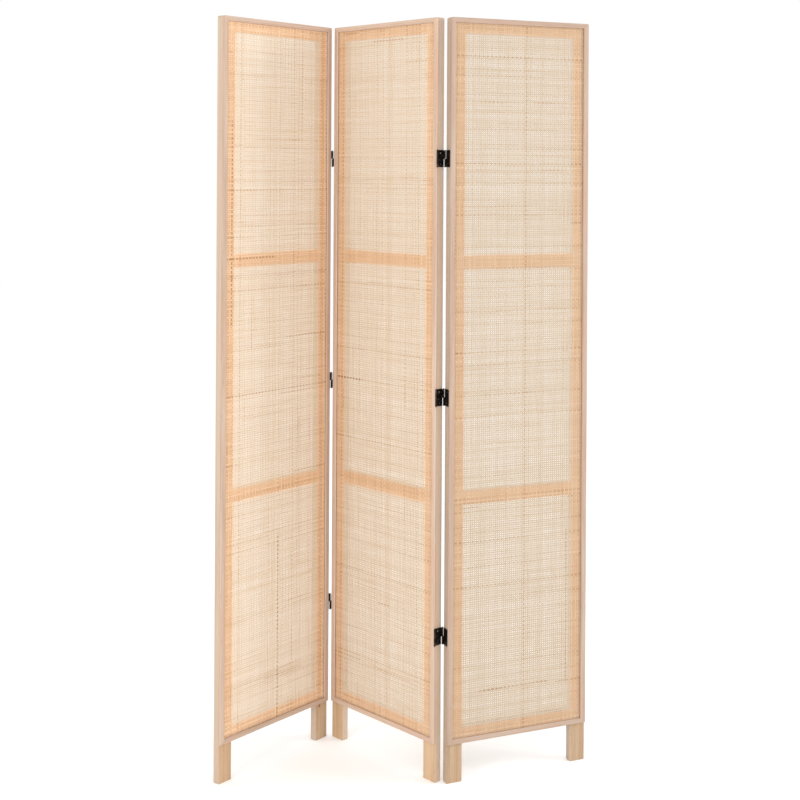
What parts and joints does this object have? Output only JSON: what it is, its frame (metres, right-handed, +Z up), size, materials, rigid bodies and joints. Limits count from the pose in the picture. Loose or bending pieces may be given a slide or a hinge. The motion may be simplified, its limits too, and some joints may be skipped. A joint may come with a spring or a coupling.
{
  "type": "folding room divider screen",
  "caption": "Folding wooden room divider: framed woven cane panels in a zigzag, joined by two-way hinges, each panel standing on its stiles as legs.",
  "frame": {"origin": "centre of the bottom of the whole screen's box, on the floor, at the stored zigzag", "axes": "+Z up; -Y towards the side that the screen is seen from; +X to the right from there, from the left panel to the right panel"},
  "size_m": [0.8404, 0.2902, 1.7],
  "materials": {
    "moulding_wood": "pale natural wood, sanded and clear-coated, satin",
    "frame_wood": "natural wood, a little more orange, satin",
    "woven_cane": "plain-woven cane strips, cream with browner strips, matt",
    "hinge_metal": "dark bronzed steel, worn a little on its edges"
  },
  "bodies": {
    "left_panel": {"left_left_leg_stile": "frame_wood", "left_right_leg_stile": "frame_wood", "left_bottom_rail": "frame_wood", "left_lower_cross_rail": "frame_wood", "left_upper_cross_rail": "frame_wood", "left_top_rail": "frame_wood", "left_left_moulding": "moulding_wood", "left_right_moulding": "moulding_wood", "left_bottom_moulding": "moulding_wood", "left_top_moulding": "moulding_wood", "left_woven_sheet": "woven_cane", "hinge_1_top_left_leaf": "hinge_metal", "hinge_1_middle_left_leaf": "hinge_metal", "hinge_1_bottom_left_leaf": "hinge_metal"},
    "middle_panel": {"middle_left_leg_stile": "frame_wood", "middle_right_leg_stile": "frame_wood", "middle_bottom_rail": "frame_wood", "middle_lower_cross_rail": "frame_wood", "middle_upper_cross_rail": "frame_wood", "middle_top_rail": "frame_wood", "middle_left_moulding": "moulding_wood", "middle_right_moulding": "moulding_wood", "middle_bottom_moulding": "moulding_wood", "middle_top_moulding": "moulding_wood", "middle_woven_sheet": "woven_cane", "hinge_1_top_right_leaf": "hinge_metal", "hinge_1_middle_right_leaf": "hinge_metal", "hinge_1_bottom_right_leaf": "hinge_metal", "hinge_2_top_left_leaf": "hinge_metal", "hinge_2_middle_left_leaf": "hinge_metal", "hinge_2_bottom_left_leaf": "hinge_metal"},
    "right_panel": {"right_left_leg_stile": "frame_wood", "right_right_leg_stile": "frame_wood", "right_bottom_rail": "frame_wood", "right_lower_cross_rail": "frame_wood", "right_upper_cross_rail": "frame_wood", "right_top_rail": "frame_wood", "right_left_moulding": "moulding_wood", "right_right_moulding": "moulding_wood", "right_bottom_moulding": "moulding_wood", "right_top_moulding": "moulding_wood", "right_woven_sheet": "woven_cane", "hinge_2_top_right_leaf": "hinge_metal", "hinge_2_middle_right_leaf": "hinge_metal", "hinge_2_bottom_right_leaf": "hinge_metal"},
    "hinge_1_links": {"hinge_1_top_link": "hinge_metal", "hinge_1_middle_link": "hinge_metal", "hinge_1_bottom_link": "hinge_metal"},
    "hinge_2_links": {"hinge_2_top_link": "hinge_metal", "hinge_2_middle_link": "hinge_metal", "hinge_2_bottom_link": "hinge_metal"}
  },
  "joints": [
    {"name": "hinge_1_rear_pin", "type": "hinge", "parent": "middle_panel", "child": "hinge_1_links", "pos_m": [-0.15917, 0.14328, 0.855], "axis": [0, 0, 1], "range_deg": [-90, 0]},
    {"name": "hinge_1_front_pin", "type": "hinge", "parent": "hinge_1_links", "child": "left_panel", "pos_m": [-0.17686, 0.12661, 0.855], "axis": [0, 0, 1], "range_deg": [-97.1, 82.9]},
    {"name": "hinge_2_front_pin", "type": "hinge", "parent": "middle_panel", "child": "hinge_2_links", "pos_m": [0.06812, -0.13335, 0.855], "axis": [0, 0, 1], "range_deg": [-90, 0]},
    {"name": "hinge_2_rear_pin", "type": "hinge", "parent": "hinge_2_links", "child": "right_panel", "pos_m": [0.0858, -0.11668, 0.855], "axis": [0, 0, 1], "range_deg": [-69.9, 110.1]}
  ]
}
